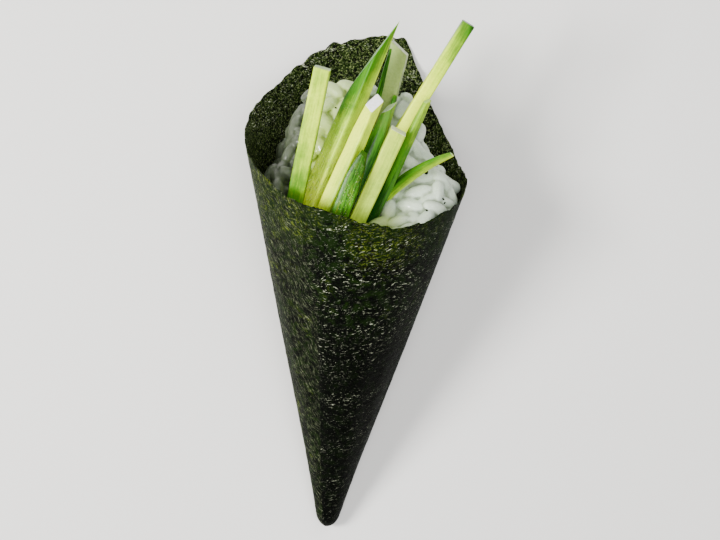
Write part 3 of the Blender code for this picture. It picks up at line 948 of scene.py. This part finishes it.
def placeGrains(surface, spots):
    # grains that the photo shows one by one, lying in the face of the heap
    turn = rollToWorld.to_3x3().normalized().inverted() @ camera.matrix_world.to_3x3()
    places = []
    for px, py, lean, size in spots:
        hit, normal = lookThrough(surface, px, py)
        if hit is None:
            continue
        long = turn @ Vector((math.sin(math.radians(lean)), math.cos(math.radians(lean)), 0))
        long = (long - normal * long.dot(normal) * rice["placedFlat"]).normalized()
        up = (normal - long * normal.dot(long)).normalized()
        places.append((hit + normal * rice["placedLift"], long, up, size))
    return fitGrains(places, rice["placedSpare"])


def drawGrains(given, taken):
    rule = random.Random(given["seed"])
    places = []
    for _ in range(given["tries"]):
        psi = rule.uniform(0, 2 * math.pi)
        edgeZ, edgeRadius = riceEdge(psi)
        radius = (edgeRadius - rice["edgeRoom"]) * math.sqrt(rule.random())
        spin = rule.uniform(0, 2 * math.pi)
        tilt = rule.uniform(-rice["tilt"], rice["tilt"])
        size = rule.uniform(*rice["sizes"])
        lift = rule.uniform(*given["lift"])
        x, y, _ = around(radius, psi, 0)
        up = roundTop(x, y)
        centre = Vector((x, y, riceHeight(x, y))) + up * rice["riseShare"] * lift
        if any((centre - other[0]).length < given["spacing"] for other in places + taken):
            continue
        sideways = up.orthogonal().normalized()
        long = sideways * math.cos(spin) + up.cross(sideways) * math.sin(spin)
        long = (long + up * tilt).normalized()
        places.append((centre, long, (up - long * up.dot(long)).normalized(), size))
    return fitGrains(places, given["spare"])


def grainShape(name, bend, flat):
    # unit grain along X with blunt ends and a slight bend
    sides = rice["sides"]
    points = [(-0.5, 0, -bend)]
    for run, share in rice["rings"]:
        for corner in range(sides):
            angle = 2 * math.pi * corner / sides
            wide = 0.5 * share * (rice["groove"] if corner % 2 else 1.0)
            low = bend * (run * 2) ** 2
            points.append((run, wide * math.cos(angle), wide * flat * math.sin(angle) - low))
    points.append((0.5, 0, -bend))
    faces = []
    for corner in range(sides):
        left, right = [range(1 + side, len(points) - 1, sides) for side in (corner, (corner + 1) % sides)]
        faces.append((0, right[0], left[0]))
        faces.extend(quads(left, right))
        faces.append((len(points) - 1, left[-1], right[-1]))
    mesh = bpy.data.meshes.new(name)
    mesh.from_pydata(points, [], faces)
    faceOutward(mesh)
    return bpy.data.objects.new(name, mesh)


def scatterTree(material, shapes):
    tree = bpy.data.node_groups.new("riceScatter", "GeometryNodeTree")
    panel = tree.interface
    panel.new_socket("Places", in_out="INPUT", socket_type="NodeSocketGeometry")
    ids = {}
    for label in ("Grain length", "Grain width", "Grain thickness"):
        ids[label] = panel.new_socket(label, in_out="INPUT", socket_type="NodeSocketFloat").identifier
    ids["Seed"] = panel.new_socket("Seed", in_out="INPUT", socket_type="NodeSocketInt").identifier
    panel.new_socket("Grains", in_out="OUTPUT", socket_type="NodeSocketGeometry")

    def node(kind, settings=None, sockets=None):
        made = tree.nodes.new(kind)
        for key, value in (settings or {}).items():
            setattr(made, key, value)
        for key, value in (sockets or {}).items():
            if isinstance(value, bpy.types.NodeSocket):
                tree.links.new(value, made.inputs[key])
            else:
                made.inputs[key].default_value = value
        return made.outputs

    places, length, width, thickness, seed, _ = node("NodeGroupInput")
    turn = node("GeometryNodeInputNamedAttribute", {"data_type": "FLOAT_VECTOR"}, {"Name": "grainTurn"})
    size = node("GeometryNodeInputNamedAttribute", {"data_type": "FLOAT"}, {"Name": "grainSize"})
    turned = node("FunctionNodeEulerToRotation", None, {0: turn[0]})
    measures = node("ShaderNodeCombineXYZ", None, {0: length, 1: width, 2: thickness})
    grown = node("ShaderNodeVectorMath", {"operation": "SCALE"}, {0: measures[0], "Scale": size[0]})
    family = node("GeometryNodeCollectionInfo", None, {0: shapes, 1: True, 2: True})
    last = len(rice["shapes"]) - 1
    pick = node("FunctionNodeRandomValue", {"data_type": "INT"}, {4: 0, 5: last, "Seed": seed})
    grains = node("GeometryNodeInstanceOnPoints", None, {
        "Points": places, "Instance": family[0], "Pick Instance": True, "Instance Index": pick[2],
        "Rotation": turned[0], "Scale": grown[0],
    })
    solid = node("GeometryNodeRealizeInstances", None, {0: grains[0]})
    smooth = node("GeometryNodeSetShadeSmooth", None, {0: solid[0]})
    coated = node("GeometryNodeSetMaterial", None, {"Geometry": smooth[0], "Material": material})
    node("NodeGroupOutput", None, {0: coated[0]})
    return tree, ids


def bake(piece):
    # turns the modifiers' result into the piece's own mesh
    bpy.context.view_layer.update()
    solid = bpy.data.meshes.new_from_object(piece.evaluated_get(bpy.context.evaluated_depsgraph_get()))
    piece.modifiers.clear()
    piece.data = solid


def makeGrains(places, material):
    family = bpy.data.collections.new("grainShapes")
    for shape in rice["shapes"]:
        family.objects.link(grainShape(*shape))
    tree, ids = scatterTree(material, family)
    turnWorld = rollToWorld.to_3x3().normalized()
    mesh = bpy.data.meshes.new("rice_grains")
    mesh.from_pydata([rollToWorld @ centre for centre, long, up, size in places], [], [])
    turns = []
    for centre, long, up, size in places:
        turns.extend((turnWorld @ Matrix((long, up.cross(long), up)).transposed()).to_euler())
    mesh.attributes.new("grainTurn", "FLOAT_VECTOR", "POINT").data.foreach_set("vector", turns)
    sizes = [place[3] for place in places]
    mesh.attributes.new("grainSize", "FLOAT", "POINT").data.foreach_set("value", sizes)
    grains = addObject("rice_grains", mesh)
    scatter = grains.modifiers.new("riceScatter", "NODES")
    scatter.node_group = tree
    for side in ("length", "width", "thickness"):
        scatter[ids[f"Grain {side}"]] = rice[side] * mm
    scatter[ids["Seed"]] = rice["pickSeed"]
    bake(grains)
    grains.data.materials.clear()
    grains.data.materials.append(material)
    for shape in list(family.objects):
        bpy.data.objects.remove(shape)
    bpy.data.collections.remove(family)
    settle(grains, "rice")
    return grains


riceFinish = {
    "white": (0.78, 0.88, 0.79),
    "bright": (0.93, 0.98, 0.95),
    "clear": (0.52, 0.61, 0.48),
    # painted shade in the creases and at the left; painted yellow-green light through the sticks, also used
    # as a tint at the front
    "crease": (0.20, 0.25, 0.15),
    "shaded": (0.048, 0.062, 0.030),
    "yellowGreenTint": (0.38, 0.50, 0.06),
    # noise: rate for each mm, detail, roughness
    "cloud": (0.55, 3.0, 0.55), "fine": (2.8, 3.0, 0.6), "grainy": (6.0, 2.0, 0.7), "wetness": (1.1, 1.0),
    # zones in mm, where each starts and is full
    "rightOfStick": (-0.5, 1.5), "leftOfMiddle": (1.5, -3.0), "lowDown": (128.0, 104.0),
    "front": (-8.0, -14.0), "frontLeft": (15.0, 7.0), "leftOfStick": (0.8, -1.2), "notBack": (14.0, 8.0),
}


def riceLook():
    look = Look("cookedRice", {
        "Subsurface Weight": 0.55,
        "Subsurface Radius": (1.0, 1.0, 0.8),
        "Subsurface Scale": 0.0015,
        "Specular IOR Level": 0.50,
        "Coat Roughness": 0.08,
    })
    given = riceFinish
    place = look.rollPlace()
    x, y, z = look.parts(place)
    cloud = look.noise(place, *given["cloud"])
    fine = look.noise(place, *given["fine"])
    grainy = look.rise(look.noise(place, *given["grainy"]), 0.50, 0.66)
    wetness = look.noise(place, *given["wetness"])
    base = look.blend(look.rise(cloud * 0.7, 0.40, 0.85), given["clear"], given["white"])
    base = look.blend(look.rise(fine, 0.60, 0.78) * 0.25, base, given["clear"])
    base = look.blend(grainy * 0.40, base, given["bright"])
    # painted shade in the furrows between grains
    base = look.blend(look.attribute("crease") * (0.35 + cloud * 0.7), base, given["crease"])
    # painted yellow-green light through the cucumber sticks on the rice between them, deeper lower down as
    # painted shade, and painted shade on the rice left of the left stick
    (footX, _, footZ), (tipX, _, tipZ) = sticks["cucumber_left"]["ends"]
    fromStick = x - footX - (z - footZ) * ((tipX - footX) / (tipZ - footZ))
    greenCastBetweenSticks = look.rise(fromStick, *given["rightOfStick"]) * look.rise(x, *given["leftOfMiddle"])
    greenCastBetweenSticks = greenCastBetweenSticks * look.rise(cloud, 0.18, 0.42) * (0.60 + look.rise(z, *given["lowDown"]) * 0.38)
    base = look.blend(greenCastBetweenSticks, base, given["yellowGreenTint"])
    # the front rice at the left takes the same yellow-green tint
    front = look.rise(y, *given["front"]) * look.rise(x, *given["frontLeft"]) * 0.70
    base = look.blend(front, base, given["yellowGreenTint"])
    shaded = look.rise(fromStick, *given["leftOfStick"]) * look.rise(y, *given["notBack"])
    base = look.blend(shaded * 0.96, base, given["shaded"])
    return look.finish({
        "Base Color": base,
        "Roughness": 0.30 + wetness * 0.25,
        "Coat Weight": look.rise(wetness, 0.60, 0.40) * 0.5,
        "Normal": look.relief(fine * 0.6 + cloud * 0.6 + grainy * 0.25, 0.55, 0.00020),
    })


def markCreases(mesh):
    # how deep each point lies in a furrow between grains, 0 to 1, which the rice's painted shade follows
    joined = [[] for _ in mesh.vertices]
    for edge in mesh.edges:
        first, second = edge.vertices
        joined[first].append(second)
        joined[second].append(first)
    places = [vert.co.copy() for vert in mesh.vertices]
    depths = []
    for vert, near in zip(mesh.vertices, joined):
        middle = sum((places[other] for other in near), Vector()) / len(near)
        depths.append((middle - vert.co).dot(vert.normal) / (rice["voxel"] * mm))
    for _ in range(rice["creaseRounds"]):
        sums = [depths[spot] + sum(depths[other] for other in near) for spot, near in enumerate(joined)]
        depths = [total / (len(near) + 1) for total, near in zip(sums, joined)]
    values = [limit(depth * rice["creaseGain"]) for depth in depths]
    mesh.attributes.new("crease", "FLOAT", "POINT").data.foreach_set("value", values)


def fuse(grains, points, faces):
    # cooked rice sticks together: grains and heap become one skin with soft creases
    bm = bmesh.new()
    bm.from_mesh(grains.data)
    corners = [bm.verts.new(rollToWorld @ Vector(point)) for point in points]
    for face in faces:
        bm.faces.new([corners[corner] for corner in face])
    bmesh.ops.recalc_face_normals(bm, faces=bm.faces)
    bm.to_mesh(grains.data)
    bm.free()
    voxels = grains.modifiers.new("stick together", "REMESH")
    voxels.mode = "VOXEL"
    voxels.voxel_size = rice["voxel"] * mm
    soften = grains.modifiers.new("soft creases", "SMOOTH")
    soften.factor = 0.5
    soften.iterations = rice["softening"]
    bake(grains)
    grains.data.shade_smooth()
    markCreases(grains.data)


riceMaterial = riceLook()
corePoints, coreFaces = coreMesh(*rice["core"])
makePiece("rice_core", corePoints, coreFaces, riceMaterial, "rice")
heapPoints, heapFaces = coreMesh(*rice["heap"])
heapSurface = BVHTree.FromPolygons([Vector(point) for point in heapPoints], heapFaces)
placedGrains = placeGrains(heapSurface, rice["placed"])
mainGrains = drawGrains(rice["main"], placedGrains) + placedGrains
fillGrains = drawGrains(rice["fill"], mainGrains)
print("grains:", len(mainGrains), "and", len(fillGrains))
riceGrains = makeGrains(mainGrains + fillGrains, riceMaterial)
fuse(riceGrains, heapPoints, heapFaces)
print("rice made:", len(riceGrains.data.polygons), "faces")


# dark flakes on the rice, in the nori's material: picture place, length, turn in degrees
darkFlakes = {
    "spots": [
        (426.5, 173, 1.3, 20), (443, 199, 0.8, 70), (444.5, 203, 0.6, 10), (427, 210.5, 0.9, 35),
        (316, 126, 0.9, 60), (304, 196, 0.7, 15), (336, 108, 0.6, 100),
    ],
    "thickness": 0.22, "sunk": 0.05, "halfLength": 0.5, "halfWidth": 0.32, "corners": 9,
    "ragged": (0.75, 1.1), "topShrink": 0.92, "bend": 0.12, "seed": 31,
}


def darkFlakeMesh(surface):
    # small torn flakes that lie on the grains
    rule = random.Random(darkFlakes["seed"])
    points, faces = [], []
    for px, py, length, angle in darkFlakes["spots"]:
        hit, normal = lookThrough(surface, px, py)
        if hit is None:
            continue
        run = Matrix.Rotation(math.radians(angle), 3, normal) @ normal.orthogonal().normalized()
        over = normal.cross(run)
        count = darkFlakes["corners"]
        first = len(points)
        for level in (-darkFlakes["sunk"], darkFlakes["thickness"]):
            for corner in range(count):
                spin = 2 * math.pi * corner / count
                ragged = rule.uniform(*darkFlakes["ragged"]) if level < 0 else darkFlakes["topShrink"]
                across = length * darkFlakes["halfLength"] * math.cos(spin) * ragged
                deep = length * darkFlakes["halfWidth"] * math.sin(spin) * ragged
                lift = level + darkFlakes["bend"] * math.cos(spin * 2)
                points.append(hit + run * across + over * deep + normal * lift)
        for corner in range(count):
            after = (corner + 1) % count
            faces.append((first + corner, first + after, first + count + after, first + count + corner))
        faces.append(tuple(first + corner for corner in reversed(range(count))))
        faces.append(tuple(first + count + corner for corner in range(count)))
    return points, faces


back = rollToWorld.inverted()
grainPoints = [back @ vert.co for vert in riceGrains.data.vertices]
grainSurface = BVHTree.FromPolygons(grainPoints, [face.vertices for face in riceGrains.data.polygons])
flakePoints, flakeFaces = darkFlakeMesh(grainSurface)
makePiece("nori_crumbs", flakePoints, flakeFaces, noriMaterial)
print("crumbs made")


# stage and light
stage = {
    "floor": (0.78, 0.77, 0.75),
    "floorReach": 2,
    "worldStrength": 0.17,
    "aim": (0, 0.02, 0.02),
    # name, place, size, power, colour
    "lights": [
        ("keyLight", (-0.54, 0.02, 0.57), 0.24, 13.0, (1.0, 0.99, 0.96)),
        ("frontLight", (0.12, -0.05, 0.80), 0.55, 7.0, (1.0, 1.0, 1.0)),
        ("topLight", (0.20, 0.45, 0.60), 0.40, 2.0, (1.0, 1.0, 1.0)),
    ],
}


def floorLook():
    look = Look("paleFloor", {"Roughness": 0.75, "Specular IOR Level": 0.2})
    spot = look.node("ShaderNodeTexCoord", output=3)
    cloud = look.noise(spot, 9.0, 3.0)
    darker = tuple(value * 0.96 for value in stage["floor"])
    return look.finish({"Base Color": look.blend(cloud, stage["floor"], darker)})


reach = stage["floorReach"]
floorMesh = bpy.data.meshes.new("floor")
corners = [(x * reach, y * reach, 0) for x, y in ((-1, -1), (1, -1), (1, 1), (-1, 1))]
floorMesh.from_pydata(corners, [], [(0, 1, 2, 3)])
floorMesh.materials.append(floorLook())
addObject("floor", floorMesh)

world = bpy.data.worlds.new("studio")
world.use_nodes = True
world.node_tree.nodes["Background"].inputs[0].default_value = (1, 1, 1, 1)
world.node_tree.nodes["Background"].inputs[1].default_value = stage["worldStrength"]
bpy.context.scene.world = world

for name, spot, size, power, colour in stage["lights"]:
    lamp = bpy.data.lights.new(name, "AREA")
    lamp.size = size
    lamp.energy = power
    lamp.color = colour
    light = addObject(name, lamp)
    light.location = spot
    light.rotation_euler = (Vector(stage["aim"]) - Vector(spot)).to_track_quat("-Z", "Y").to_euler()
    # the broad light from the front only lifts the shadows, it isn't mirrored in wet surfaces
    light.visible_glossy = name != "frontLight"
print("stage and light set")

bpy.context.view_layer.update()
